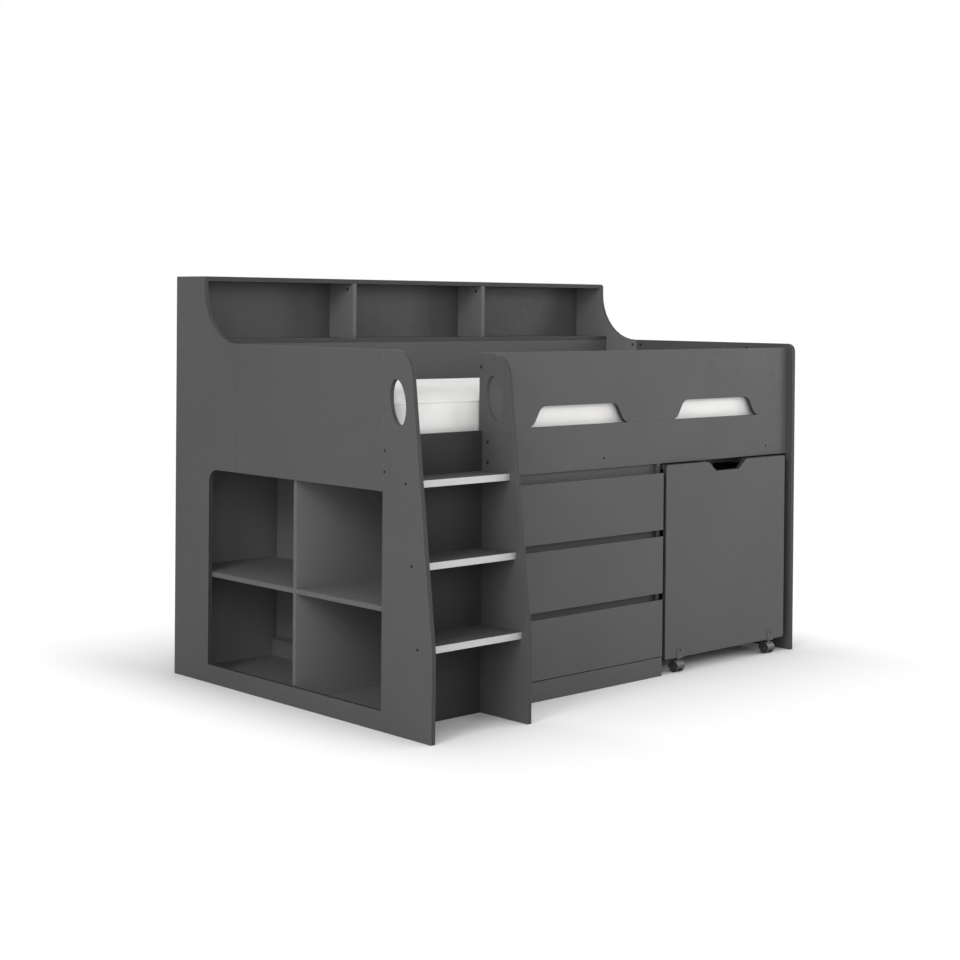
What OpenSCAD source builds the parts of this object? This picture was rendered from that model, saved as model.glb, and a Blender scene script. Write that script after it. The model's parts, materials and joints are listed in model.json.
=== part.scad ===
// Mid sleeper bed with a ladder, a 2 by 2 bookcase in its end, three drawers,
// a pull-out desk on castors and a shelf along the back. Millimetres, +Z up.
// Inside the modules X runs from the ladder end, Y from the guard boards' face to the rear.

/* [Bed] */
// Length over both end panels
length = 1980; // [1940:5:2100]
// Depth from the guard boards' face to the rear edge of the end panels
depth = 1150; // [1130:1:1250]
// Height of the end panels at the rear
height = 1385; // [1365:1:1455]
// How far the end panels beside the mattress end below the rear
side_drop = 227; // [205:1:240]
// Thickness of the laminated boards
board = 16; // [15:0.5:18]
// Flat top of the end panels at the rear
flat_top = 170; // [155:5:195]
// Radius of the hollow curve in the end panels
curve_r = 188; // [150:2:194]
// Radius of the small outer corners of the end panels
corner_r = 12; // [6:1:20]
// How far the right end panel stands in front of the guard boards
end_out = 23; // [18:1:30]
// Set-back of the rear panels from the rear edge
back_inset = 14; // [8:1:18]

/* [Sleeping space] */
// Width between the guard boards and the rear inner panel
sleep_w = 929; // [920:1:940]
// How far the guard boards end below the end panels
guard_drop = 15; // [10:1:40]
// Seam between the upper and the lower guard board
guard_seam = 896; // [888:1:902]
// Underside of the lower guard board
guard_bottom = 744; // [741:1:748]
// Left foot of the first cutout in the upper guard board
cut_1_x = 594; // [590:1:640]
// Distance of the second cutout's left foot from the right end panel
cut_2_end = 659; // [620:1:665]
// Width of a cutout along the seam
cut_w = 488; // [400:2:500]
// Height of a cutout
cut_h = 68; // [55:1:90]
// Radius of a cutout's flared feet
flare_r = 42; // [20:1:46]
// Radius of a cutout's upper corners
cut_r = 36; // [15:1:40]
// Top of the slats
slat_top = 861; // [855:1:866]
// Thickness of a slat
slat_t = 18; // [15:1:20]
// Width of a slat
slat_w = 68; // [55:1:80]
// Number of slats
slat_n = 15; // [12:1:17]
// Width of the battens that carry the slats
batten_w = 22; // [18:1:30]
// Height of the battens
batten_h = 40; // [30:1:45]
// Height of the cross beams below the battens
beam_h = 50; // [40:1:55]
// Centre of the first cross beam
beam_1_x = 956; // [900:1:1000]
// Distance of the second cross beam's centre from the right end panel
beam_2_end = 130; // [100:1:180]
// Space between the mattress and an end panel
mattress_gap = 24; // [12:1:40]
// Mattress width
mattress_w = 900; // [860:5:915]
// Mattress thickness at its edges
mattress_t = 149; // [130:1:165]
// Radius of the mattress corners in plan
mattress_r = 60; // [40:5:90]
// Rise of the mattress in the middle
crown = 8; // [3:1:12]

/* [Ladder] */
// Clear width between the ladder's side panels
ladder_w = 378; // [355:1:390]
// Reach of the ladder's foot in front of the guard boards
ladder_out = 217; // [205:1:245]
// Reach of the ladder's front edge at its top
ladder_top_out = 108; // [102:1:125]
// Height where the slope of the front edge begins
ladder_knee = 272; // [240:1:290]
// Radius of the upper front corner
nose_r = 82; // [60:1:95]
// Top of the first tread
tread_1 = 282; // [274:1:290]
// Top of the second tread
tread_2 = 526; // [510:1:535]
// Top of the third tread
tread_3 = 769; // [752:1:780]
// Set-back of the treads from the side panels' front edge
tread_recess = 29; // [20:1:40]
// Thickness of a tread
tread_t = 20; // [18:1:22]
// Wall of the metal strip on a tread's front edge
strip_wall = 1; // [0.8:0.1:1.5]
// Depth of the strip under the tread
strip_d = 14; // [10:1:20]
// Distance of the hand hole from the guard boards
hole_out = 53; // [50:1:64]
// Height of the hand hole's middle
hole_z = 1000; // [960:1:1010]
// Half the width of the hand hole
hole_a = 36; // [28:1:38]
// Half the length of the hand hole
hole_b = 71; // [60:1:75]
// Lean of the hand hole in degrees
hole_tilt = 10; // [4:1:12]

/* [Bookcase in the end] */
// Rear edge of the opening
open_rear = 945; // [900:1:955]
// Bottom of the opening
open_bottom = 62; // [50:1:70]
// Top of the opening
open_top = 728; // [725:1:734]
// Radius of the opening's upper rear corner
open_r = 45; // [30:1:60]
// Underside of the middle shelves
cell_shelf_z = 360; // [330:1:390]

/* [Rear shelf] */
// Height of the lower shelf over the end panels beside the mattress
shelf_lift = -4; // [-10:1:12]
// Left face of the first divider
divider_1_x = 646; // [560:1:700]
// Left face of the second divider
divider_2_x = 1287; // [1200:1:1320]

/* [Drawer unit] */
// Right edge of the drawer unit
unit_right = 1243; // [1215:1:1250]
// Height of the plinth behind its face
plinth_h = 75; // [72:1:80]
// Underside of the lowest drawer front
front_z = 69; // [66:0.5:72]
// Height of a drawer front
front_h = 199; // [190:1:201]
// Gap between drawer fronts
front_gap = 23; // [20:0.5:25]
// Gap between the drawer fronts and the unit, closed
closed_gap = 1; // [0.8:0.1:2]
// Play beside a drawer front
front_play = 3; // [2:0.5:5]
// Depth of a drawer box
box_d = 500; // [400:10:550]
// Height of a drawer box
box_h = 130; // [100:5:145]
// Wall of a drawer box
box_t = 12; // [10:1:15]
// Thickness of a drawer bottom
bottom_t = 5; // [3:0.5:8]
// Height of a drawer box above the lower edge of its front
box_up = 32; // [29:1:36]
// Width of a runner pair beside a drawer
runner_w = 13; // [12:0.5:14]
// Height of a runner
runner_h = 35; // [30:1:40]
// Wall of a runner
runner_t = 1.5; // [1.2:0.1:2]
// Set-back of the rails behind the gaps
rail_back = 14; // [12:1:18]
// Height of the rails
rail_h = 44; // [34:1:46]

/* [Desk] */
// Gap between the drawer unit and the desk
desk_gap = 15; // [12:1:22]
// Gap between the desk and the right end panel
desk_side = 35; // [20:1:50]
// Depth of the desk
desk_d = 880; // [800:10:900]
// Top of the desk
desk_z = 738; // [730:1:739]
// Underside of the desk panels
desk_foot = 54; // [52:0.5:57]
// Height of the panel under the desk top
spine_h = 320; // [250:10:400]
// Width of the handle notch at its top
notch_top_w = 214; // [190:1:230]
// Width of the handle notch at its bottom
notch_low_w = 127; // [110:1:140]
// Depth of the handle notch
notch_h = 35; // [30:1:42]
// Depth of the finger recess in the desk top
recess_d = 60; // [50:1:80]
// Distance of the castors from the ends of the desk
castor_in = 79.5; // [74:0.5:120]
// Radius of a castor wheel
wheel_r = 20; // [18:0.5:20.5]
// Width of one wheel
wheel_w = 13; // [10:0.5:14]
// Trail of the castor axle behind its stem
trail = 7; // [4:0.5:9]
// Width of the plate on the panel's face
plate_w = 34; // [30:1:60]
// Height of the plate above the panel's lower edge
plate_h = 34; // [28:1:40]

/* [Fastenings] */
// Diameter of a screw head
head_d = 9; // [8:0.5:10]
// Thickness of a screw head
head_t = 2.4; // [2:0.1:3]
// Diameter of a screw shank
shank_d = 5; // [4:0.5:6]
// How deep a screw head lies in its board
head_sink = 1.5; // [0:0.1:2.5]
// Length of a screw
shank_l = 42; // [38:1:46]
// Diameter of a cam cap
cap_d = 11; // [9:0.5:12]
// Depth of a cam cap in its board
cap_t = 2; // [1.5:0.1:3]
// How far a cam cap stands out of its board
cap_out = 0.6; // [0.3:0.1:1]
// Distance of a tread's screw behind the tread's front edge
tread_screw = 35; // [26:1:45]
// Distance of the ladder back's upper screw below its top edge
back_screw_1 = 44; // [35:1:50]
// Distance of the ladder back's lower screw below its top edge
back_screw_2 = 108; // [90:1:120]

/* [Hidden] */
$fn = 48;
eps = 0.5;
soft_gap = 0.3;
fit = 0.2;
run_gap = 0.5;
pin_play = 0.1;
side_height = height - side_drop;
guard_top = side_height - guard_drop;
shelf_z = side_height + shelf_lift;
x_right = length - board;
mattress_l = x_right - board - 2 * mattress_gap;
cut_2_x = x_right - cut_2_end;
beam_2_x = x_right - beam_2_end;
y_inner = board + sleep_w;
y_back = depth - back_inset;
seam_lip = 10;
seam_gap = 0.6;
seam_y = depth - flat_top - curve_r - seam_lip;
right_seam_y = seam_y - 7;
right_corner_r = 30;
ladder_x = board + ladder_w;
unit_x = ladder_x;
unit_in_l = unit_x + board;
unit_in_r = unit_right - board;
front_x = unit_in_l + front_play;
front_l = unit_right - front_x;
front_out = closed_gap + board;
side_rear_gap = 27;
unit_top_z = guard_bottom;
box_x = unit_in_l + runner_w;
box_w = unit_in_r - runner_w - box_x;
drawer_z = [front_z, front_z + front_h + front_gap, front_z + 2 * (front_h + front_gap)];
slat_under = slat_top - slat_t;
beam_top = slat_under - batten_h;
desk_x = unit_right + desk_gap;
desk_w = x_right - desk_side - desk_x;
desk_mid = desk_x + desk_w / 2;
castor_x = desk_w / 2 - castor_in;
desk_back = desk_d - front_out;
desk_under = desk_z - board;
tread_z = [tread_1, tread_2, tread_3];
castor_places = [
    [desk_mid - castor_x, -closed_gap - board / 2], [desk_mid + castor_x, -closed_gap - board / 2],
    [desk_mid - castor_x, desk_back - board / 2], [desk_mid + castor_x, desk_back - board / 2]];
laminate = "#5b5d60";
laminate_dark = "#4a4c4f";
light_board = "#d8d8d4";
metal = "#bdbdbd";
dark = "#2a2a2c";
pine = "#d9bf95";
white = "#e8e6e2";
castor_grey = "#8d8f92";

// Shared shapes

module place() translate([-length / 2, -(depth - ladder_out) / 2, 0]) children();
module slab(from, to) translate(from) cube(to - from);

function unit(v) = v / norm(v);
function turn(a) = a > 180 ? a - 360 : a < -180 ? a + 360 : a;
// Replaces the corner b between a and c by an arc of radius r
function corner(a, b, c, r, n = 10) =
    let (u = unit(a - b), v = unit(c - b), half = acos(u * v) / 2,
         o = b + unit(u + v) * r / sin(half), p = b + u * r / tan(half), q = b + v * r / tan(half),
         s = atan2(p[1] - o[1], p[0] - o[0]), e = atan2(q[1] - o[1], q[0] - o[0]), d = turn(e - s))
    [for (i = [0 : n]) o + r * [cos(s + d * i / n), sin(s + d * i / n)]];
// An outline of [point, radius] corners
function outline(c) = [for (i = [0 : len(c) - 1])
    let (a = c[(i + len(c) - 1) % len(c)][0], b = c[i][0], d = c[(i + 1) % len(c)][0], r = c[i][1])
    each (r == 0 ? [b] : corner(a, b, d, r))];
function oval(y, z, a, b, tilt) = [for (i = [0 : 47])
    let (t = i * 7.5, p = a * cos(t), q = b * sin(t))
    [y + p * cos(tilt) + q * sin(tilt), z - p * sin(tilt) + q * cos(tilt)]];

// A board cut from an outline in Y and Z, from x on
module board_yz(x, t = board) translate([x, 0, 0]) rotate([90, 0, 90]) linear_extrude(t) children();
// A board cut from an outline in X and Z, whose rear face is at y
module board_xz(y, t = board) translate([0, y, 0]) rotate([90, 0, 0]) linear_extrude(t) children();

// Screws and caps: each place is a point on the face and the direction into the board

function front_edge(z) = z < ladder_knee ? ladder_out
    : ladder_out - (ladder_out - ladder_top_out) * (z - ladder_knee) / (side_height - ladder_knee);
function tread_front(i) = front_edge(tread_z[i]) - tread_recess;
back_screw_z = [guard_seam - back_screw_1, guard_seam - back_screw_2];
ladder_screws = [
    for (i = [0 : 2]) [-tread_front(i) + tread_screw, tread_z[i] - tread_t / 2]];
left_screws = concat([for (z = back_screw_z) [board / 2, z]], ladder_screws);
guard_screws = [for (x = [beam_1_x, beam_2_x]) [x, beam_top - beam_h / 2]];
cam_in = 34;
cap_drop = 20;
cap_z = side_height - cap_drop;
cap_beside_seam = 22;
back_cap_y = -25;
back_cap_up = 9;
ladder_caps = [for (z = back_screw_z) [back_cap_y, z + back_cap_up],
    [board / 2, side_height - 3 * cap_drop]];
end_caps = [[right_seam_y - cap_beside_seam, cap_z], [10 * cap_drop, cap_z]];
rear_caps = [[right_seam_y + cap_beside_seam, cap_z]];
divider_cap = [depth - flat_top + cam_in, height - board - cap_drop];

module screw() translate([0, 0, head_sink]) {
    cylinder(d = head_d, h = head_t);
    cylinder(d = shank_d, h = shank_l);
}
module screw_bore() {
    translate([0, 0, -eps]) cylinder(d = head_d + 2 * fit, h = head_sink + head_t + eps);
    cylinder(d = shank_d + 2 * fit, h = head_sink + shank_l + 1);
}
// Along +X from the outer face, along -X, and along +Y
module into_x(x, p) translate([x, p[0], p[1]]) rotate([0, 90, 0]) children();
module out_of_x(x, p) translate([x, p[0], p[1]]) rotate([0, -90, 0]) children();
module into_y(y, p) translate([p[0], y, p[1]]) rotate([-90, 0, 0]) children();
module left_bores() for (p = left_screws) into_x(0, p) screw_bore();
module right_bores() for (p = ladder_screws) out_of_x(ladder_x + board, p) screw_bore();
module cap() cylinder(d = cap_d, h = cap_t + cap_out);
module cap_bore() cylinder(d = cap_d + 2 * fit, h = cap_t + eps);

// End panels

function ladder_corners(top) = [[[board, top], 0], [[-front_edge(top), top], nose_r],
    [[-ladder_out, ladder_knee], 0], [[-ladder_out, 0], 0]];
rear_corners = [[[depth, 0], 0], [[depth, height], 0], [[depth - flat_top, height], corner_r],
    [[depth - flat_top, side_height], curve_r]];

module hand_hole() polygon(oval(-hole_out, hole_z, hole_a, hole_b, hole_tilt));

module left_end_panel() place() color(laminate) difference() {
    board_yz(0) difference() {
        polygon(outline(concat(rear_corners,
            [[[seam_y, side_height], 0], [[seam_y, open_top], 0], [[open_rear, open_top], open_r],
             [[open_rear, open_bottom], 0], [[board, open_bottom], 0]],
            ladder_corners(side_height))));
        hand_hole();
    }
    left_bores();
}

module left_end_infill() place() color(laminate)
    slab([0, board + seam_gap, open_top], [board, seam_y - seam_gap, side_height]);

module right_end_rear_panel() place() color(laminate) difference() {
    board_yz(x_right) polygon(outline(concat(rear_corners,
        [[[right_seam_y, side_height], 0], [[right_seam_y, 0], 0]])));
    for (p = rear_caps) into_x(x_right - eps, p) cap_bore();
}

module right_end_side_panel() place() color(laminate) difference() {
    board_yz(x_right) polygon(outline([[[right_seam_y - seam_gap, 0], 0],
        [[right_seam_y - seam_gap, side_height], 0],
        [[-end_out, side_height], right_corner_r], [[-end_out, 0], 0]]));
    for (p = end_caps) into_x(x_right - eps, p) cap_bore();
}

// Ladder

module ladder_right_panel() place() color(laminate) difference() {
    board_yz(ladder_x) difference() {
        polygon(outline(concat([[[board, 0], 0]], ladder_corners(guard_top))));
        hand_hole();
    }
    right_bores();
    for (p = ladder_caps) into_x(ladder_x - eps, p) cap_bore();
}

module ladder_back_panel() place() color(laminate_dark) difference() {
    slab([board, 0, 0], [ladder_x, board, guard_seam]);
    left_bores();
}

module tread(i) place() color(laminate) difference() {
    slab([board, -tread_front(i) + strip_wall, tread_z[i] - tread_t],
        [ladder_x, 0, tread_z[i]]);
    left_bores();
    right_bores();
}
module tread_bottom() tread(0);
module tread_middle() tread(1);
module tread_top() tread(2);

module tread_edge_strips() place() color(metal) for (i = [0 : 2]) difference() {
    slab([board, -tread_front(i), tread_z[i] - tread_t - strip_wall],
        [ladder_x, -tread_front(i) + strip_d, tread_z[i]]);
    slab([board - eps, -tread_front(i) + strip_wall, tread_z[i] - tread_t],
        [ladder_x + eps, -tread_front(i) + strip_d + eps, tread_z[i] + eps]);
}

// Guard boards

// A cutout's left side: a flared foot, a slope and a round upper corner
slope = 60;
rise = cut_h - (flare_r + cut_r) * (1 - cos(slope));
run = (flare_r + cut_r) * sin(slope) + rise / tan(slope);
cut_side = [
    [0, -eps],
    for (t = [0 : 6 : slope]) [flare_r * sin(t), flare_r * (1 - cos(t))],
    for (t = [slope : -6 : 0]) [run - cut_r * sin(t), cut_h - cut_r * (1 - cos(t))]];
module flared_cut(x) translate([x, guard_seam]) polygon(concat(cut_side,
    [for (i = [len(cut_side) - 1 : -1 : 0]) [cut_w - cut_side[i][0], cut_side[i][1]]]));

module guard_upper_board() place() color(laminate) board_xz(board) difference() {
    translate([ladder_x + board, guard_seam])
        square([x_right - ladder_x - board, guard_top - guard_seam]);
    flared_cut(cut_1_x);
    flared_cut(cut_2_x);
}

module guard_lower_board() place() color(laminate) difference() {
    slab([ladder_x + board, 0, guard_bottom], [x_right, board, guard_seam]);
    for (p = guard_screws) into_y(0, p) screw_bore();
}

// Slatted base and mattress

module rear_inner_panel() place() color(laminate)
    slab([board, y_inner, guard_bottom], [x_right, y_inner + board, shelf_z]);

module slat_battens() place() color(pine) for (y = [board, y_inner - batten_w])
    slab([board, y, beam_top], [x_right, y + batten_w, slat_under]);

module cross_beams() place() color(pine) difference() {
    for (x = [beam_1_x, beam_2_x])
        slab([x - board / 2, board, beam_top - beam_h], [x + board / 2, y_inner, beam_top]);
    for (p = guard_screws) into_y(0, p) screw_bore();
}

first_slat = 30;
slat_play = 1;
slat_pitch = (x_right - board - slat_w - 2 * first_slat) / (slat_n - 1);
module slats() place() color(pine) for (i = [0 : slat_n - 1])
    translate([board + first_slat + i * slat_pitch, board + slat_play, slat_under])
        cube([slat_w, sleep_w - 2 * slat_play, slat_t]);

// The mattress is a stack of rings, each drawn in from the outline by its own inset
mattress_profile = [[70, 0], [16, 0.6], [5, 7], [0, 18], [0, 24], [4, mattress_t / 2],
    [0, mattress_t - 26], [0, mattress_t - 20], [6, mattress_t - 7], [22, mattress_t - 1],
    [90, mattress_t + 2], [190, mattress_t + 0.6 * crown], [320, mattress_t + 0.92 * crown]];
side_pull = 3;
long_n = 12;
short_n = 7;
corner_n = 5;
function pull(s) = side_pull * (1 - pow(2 * s - 1, 2));
function ring(inset, z) =
    let (a = mattress_l / 2 - inset, b = mattress_w / 2 - inset,
         r = max(12, mattress_r - inset * 0.15), p = a - r, q = b - r)
    concat(
        [for (i = [0 : corner_n]) [p + r * cos(90 * i / corner_n), q + r * sin(90 * i / corner_n), z]],
        [for (i = [1 : long_n]) let (s = i / (long_n + 1)) [p - 2 * p * s, b - pull(s), z]],
        [for (i = [0 : corner_n]) [-p - r * sin(90 * i / corner_n), q + r * cos(90 * i / corner_n), z]],
        [for (i = [1 : short_n]) let (s = i / (short_n + 1)) [-a + pull(s), q - 2 * q * s, z]],
        [for (i = [0 : corner_n]) [-p - r * cos(90 * i / corner_n), -q - r * sin(90 * i / corner_n), z]],
        [for (i = [1 : long_n]) let (s = i / (long_n + 1)) [-p + 2 * p * s, -b + pull(s), z]],
        [for (i = [0 : corner_n]) [p + r * sin(90 * i / corner_n), -q - r * cos(90 * i / corner_n), z]],
        [for (i = [1 : short_n]) let (s = i / (short_n + 1)) [a - pull(s), -q + 2 * q * s, z]]);
module mattress() {
    rings = [for (p = mattress_profile) ring(p[0], p[1])];
    n = len(rings[0]);
    m = len(rings);
    points = concat([for (g = rings) each g], [[0, 0, 0], [0, 0, mattress_t + crown]]);
    faces = concat(
        [for (k = [0 : m - 2], i = [0 : n - 1]) let (j = (i + 1) % n)
            each [[k * n + i, (k + 1) * n + i, k * n + j], [k * n + j, (k + 1) * n + i, (k + 1) * n + j]]],
        [for (i = [0 : n - 1]) [m * n, i, (i + 1) % n]],
        [for (i = [0 : n - 1]) [m * n + 1, (m - 1) * n + (i + 1) % n, (m - 1) * n + i]]);
    place() color(white)
        translate([length / 2, board + sleep_w / 2, slat_top + soft_gap]) polyhedron(points, faces);
}

// Rear shelf

module shelf_top() place() color(laminate)
    slab([board, depth - flat_top, height - board], [x_right, depth, height]);

module shelf_bottom() place() color(laminate)
    slab([board, y_inner, shelf_z], [x_right, y_back - board, shelf_z + board]);

module shelf_divider(x) place() color(laminate) difference() {
    slab([x, depth - flat_top, shelf_z + board], [x + board, y_back - board, height - board]);
    into_x(x - eps, divider_cap) cap_bore();
}
module shelf_divider_left() shelf_divider(divider_1_x);
module shelf_divider_right() shelf_divider(divider_2_x);

module rear_upper_panel() place() color(laminate)
    slab([board, y_back - board, open_top], [x_right, y_back, height - board]);
module rear_lower_panel() place() color(laminate_dark)
    slab([board, y_back - board, board], [x_right, y_back, open_top]);

// Bookcase in the ladder end

divider_shift = 4;
cell_mid = open_rear / 2 + divider_shift;
module bookcase_base() place() color(laminate_dark)
    slab([board, board, 0], [unit_x, y_back, board]);
module bookcase_divider() place() color(laminate)
    slab([board, cell_mid - board / 2, board], [unit_x, cell_mid + board / 2, guard_bottom - board]);
module bookcase_shelf_front() place() color(laminate)
    slab([board, board, cell_shelf_z], [unit_x, cell_mid - board / 2, cell_shelf_z + board]);
module bookcase_shelf_rear() place() color(laminate)
    slab([board, cell_mid + board / 2, cell_shelf_z], [unit_x, y_back - board, cell_shelf_z + board]);
module bookcase_top() place() color(laminate_dark)
    slab([board, board, guard_bottom - board], [unit_in_l, y_back - board, guard_bottom]);

// Drawer unit

unit_floor = plinth_h + board;
plinth_gap = 3;
runner_in = board + 2;
runner_short = 20;
bottom_up = 8;
grip_chamfer = board * 0.6;
module unit_left_side() place() color(laminate_dark)
    slab([unit_x, board, unit_floor], [unit_in_l, y_back - board - side_rear_gap, unit_top_z - board]);
module unit_right_side() place() color(laminate_dark)
    slab([unit_in_r, 0, unit_floor], [unit_right, y_back - board - side_rear_gap, unit_top_z]);
module unit_plinth() place() color(laminate) {
    slab([front_x, -board, 0], [unit_right, 0, front_z - plinth_gap]);
    slab([unit_x, board, 0], [unit_in_l, y_back - board, plinth_h]);
    slab([unit_in_l, 0, 0], [unit_in_l + board, 3 * board, plinth_h]);
    slab([unit_in_r, 0, 0], [unit_right, y_back - board, plinth_h]);
    slab([unit_in_l, 0, 0], [unit_in_r, board, plinth_h]);
}
module unit_base() place() color(laminate_dark)
    slab([unit_x, board, plinth_h], [unit_right, y_back - board, unit_floor]);
module unit_top() place() color(laminate_dark)
    slab([unit_in_l, rail_back + board, unit_top_z - board],
        [unit_in_r, y_back - board - side_rear_gap, unit_top_z]);
rail_z = [for (i = [1, 2]) drawer_z[i] - (front_gap + rail_h) / 2, unit_top_z - rail_h];
module unit_rails() place() color(laminate_dark) for (z = rail_z)
    slab([unit_in_l, rail_back, z], [unit_in_r, rail_back + board, z + rail_h]);

function box_low(i) = drawer_z[i] + box_up;
function runner_z(i) = box_low(i) + box_h / 2;
runner_l = box_d - runner_short;
module unit_runners() place() color(metal) for (i = [0 : 2], side = [0, 1])
    translate([side ? unit_in_r : unit_in_l, runner_in, runner_z(i) - runner_h / 2])
        mirror([side, 0, 0]) difference() {
            cube([runner_w - runner_t - run_gap, runner_l, runner_h]);
            translate([runner_t, -eps, runner_t])
                cube([runner_w, runner_l + 2 * eps, runner_h - 2 * runner_t]);
        }

module drawer_front(i) place() color(laminate) difference() {
    slab([front_x, -front_out, drawer_z[i]], [unit_right, -closed_gap, drawer_z[i] + front_h]);
    translate([front_x - eps, -closed_gap, drawer_z[i] + front_h - grip_chamfer])
        rotate([0, 90, 0]) rotate([0, 0, 45]) translate([-board, 0, 0])
            cube([2 * board, board, front_l + 2 * eps]);
}
module drawer_box(i) place() color(light_board) {
    low = box_low(i);
    difference() {
        slab([box_x, -closed_gap, low], [box_x + box_w, box_d, low + box_h]);
        slab([box_x + box_t, -closed_gap - eps, low + bottom_t + bottom_up],
            [box_x + box_w - box_t, box_d - box_t, low + box_h + eps]);
        slab([box_x + box_t, -closed_gap - eps, low - eps],
            [box_x + box_w - box_t, box_d - box_t, low + bottom_up]);
    }
}
module drawer_slides(i) place() color(metal) for (side = [0, 1])
    translate([side ? box_x + box_w : box_x, runner_in, runner_z(i) - runner_h / 2])
        mirror([1 - side, 0, 0]) translate([0, 0, runner_t + run_gap])
            cube([runner_w - runner_t - run_gap, runner_l, runner_h - 2 * runner_t - 2 * run_gap]);
module drawer_front_bottom() drawer_front(0);
module drawer_front_middle() drawer_front(1);
module drawer_front_top() drawer_front(2);
module drawer_box_bottom() drawer_box(0);
module drawer_box_middle() drawer_box(1);
module drawer_box_top() drawer_box(2);
module drawer_slides_bottom() drawer_slides(0);
module drawer_slides_middle() drawer_slides(1);
module drawer_slides_top() drawer_slides(2);

// Desk

upper_r = 8;
lower_r = 10;
notch_r = 12;
notch_flare = 34;
recess_r = 20;
notch = [
    [[desk_mid - notch_top_w / 2, desk_z], notch_flare],
    [[desk_mid - notch_low_w / 2, desk_z - notch_h], notch_r],
    [[desk_mid + notch_low_w / 2, desk_z - notch_h], notch_r],
    [[desk_mid + notch_top_w / 2, desk_z], notch_flare]];
module desk_front() place() color(laminate) board_xz(-closed_gap) polygon(outline(concat(
    [[[desk_x, desk_foot], lower_r], [[desk_x, desk_z], upper_r]], notch,
    [[[desk_x + desk_w, desk_z], upper_r], [[desk_x + desk_w, desk_foot], lower_r]])));
module desk_top() place() color(laminate) difference() {
    slab([desk_x, -closed_gap, desk_under], [desk_x + desk_w, desk_back, desk_z]);
    translate([desk_mid, -closed_gap, desk_under - eps]) linear_extrude(board + 2 * eps)
        polygon(outline([[[-notch_top_w / 2, -eps], 0], [[-notch_top_w / 2, recess_d], recess_r],
            [[notch_top_w / 2, recess_d], recess_r], [[notch_top_w / 2, -eps], 0]]));
}
module desk_rear() place() color(laminate)
    slab([desk_x, desk_back - board, desk_foot], [desk_x + desk_w, desk_back, desk_under]);
module desk_spine() place() color(laminate) difference() {
    slab([desk_mid - board / 2, -closed_gap, desk_under - spine_h],
        [desk_mid + board / 2, desk_back - board, desk_under]);
    slab([desk_mid - board, -closed_gap - eps, desk_under - 2 * notch_h],
        [desk_mid + board, recess_d, desk_under + eps]);
}

// Castors: a bracket under and on the panel, a hood that swivels, and twin wheels

bracket_t = 4;
plate_t = 2;
stem_d = 8;
rivet_d = 12;
rivet_t = 1;
hood_w = 12;
hood_wall = 2;
axle_d = 5;
tread_gap = run_gap + 0.5;
hood_r = wheel_r + tread_gap + hood_wall;
hood_low = 4;
axle_z = wheel_r;
castor_w = hood_w + 2 * (wheel_w + run_gap);
facing = [-1, -1, 1, 1];

module castor_brackets() place() color(metal) for (i = [0 : 3])
    translate([castor_places[i][0], castor_places[i][1], 0]) difference() {
        union() {
            slab([-plate_w / 2, -board / 2 - plate_t, desk_foot - bracket_t],
                [plate_w / 2, board / 2 + plate_t, desk_foot]);
            for (s = [-1, 1]) if (s == facing[i])
                slab([-plate_w / 2, s * (board / 2 + plate_t / 2) - plate_t / 2, desk_foot - eps],
                    [plate_w / 2, s * (board / 2 + plate_t / 2) + plate_t / 2, desk_foot + plate_h]);
        }
        translate([0, 0, desk_foot - bracket_t - eps])
            cylinder(d = stem_d + 2 * pin_play, h = bracket_t + 2 * eps);
        translate([0, 0, desk_foot - rivet_t - run_gap])
            cylinder(d = rivet_d + 2 * run_gap, h = rivet_t + run_gap + eps);
    }

module castor_hood(i) place() color(castor_grey)
    translate([castor_places[i][0], castor_places[i][1], 0]) {
        translate([0, 0, desk_foot - rivet_t - run_gap / 2])
            cylinder(d = rivet_d, h = rivet_t - run_gap / 2);
        translate([0, 0, axle_z]) cylinder(d = stem_d, h = desk_foot - axle_z - run_gap);
        translate([0, trail, axle_z]) difference() {
            intersection() {
                rotate([0, 90, 0]) cylinder(r = hood_r, h = castor_w, center = true);
                translate([-castor_w, -hood_r, -hood_low]) cube([2 * castor_w, 2 * hood_r, 2 * hood_r]);
            }
            for (s = [-1, 1]) translate([s * (hood_w / 2 + castor_w / 2), 0, 0]) rotate([0, 90, 0])
                cylinder(r = wheel_r + tread_gap, h = castor_w, center = true);
            rotate([0, 90, 0]) cylinder(d = axle_d + 2 * pin_play, h = 2 * castor_w, center = true);
        }
    }

module castor_wheels(i) place() color(dark)
    translate([castor_places[i][0], castor_places[i][1] + trail, axle_z]) rotate([0, 90, 0]) {
        cylinder(d = axle_d, h = castor_w, center = true);
        for (s = [-1, 1]) translate([0, 0, s * (hood_w / 2 + run_gap + wheel_w / 2)])
            cylinder(r = wheel_r, h = wheel_w, center = true);
    }
module castor_hood_1() castor_hood(0);
module castor_hood_2() castor_hood(1);
module castor_hood_3() castor_hood(2);
module castor_hood_4() castor_hood(3);
module castor_wheels_1() castor_wheels(0);
module castor_wheels_2() castor_wheels(1);
module castor_wheels_3() castor_wheels(2);
module castor_wheels_4() castor_wheels(3);

// Fastenings

module frame_screws() place() color(dark) {
    for (p = left_screws) into_x(0, p) screw();
    for (p = ladder_screws) out_of_x(ladder_x + board, p) screw();
    for (p = guard_screws) into_y(0, p) screw();
}
module cam_caps() place() color(dark) {
    for (p = ladder_caps) into_x(ladder_x - cap_out, p) cap();
    for (p = concat(end_caps, rear_caps)) into_x(x_right - cap_out, p) cap();
    for (x = [divider_1_x, divider_2_x]) into_x(x - cap_out, divider_cap) cap();
}

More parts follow.
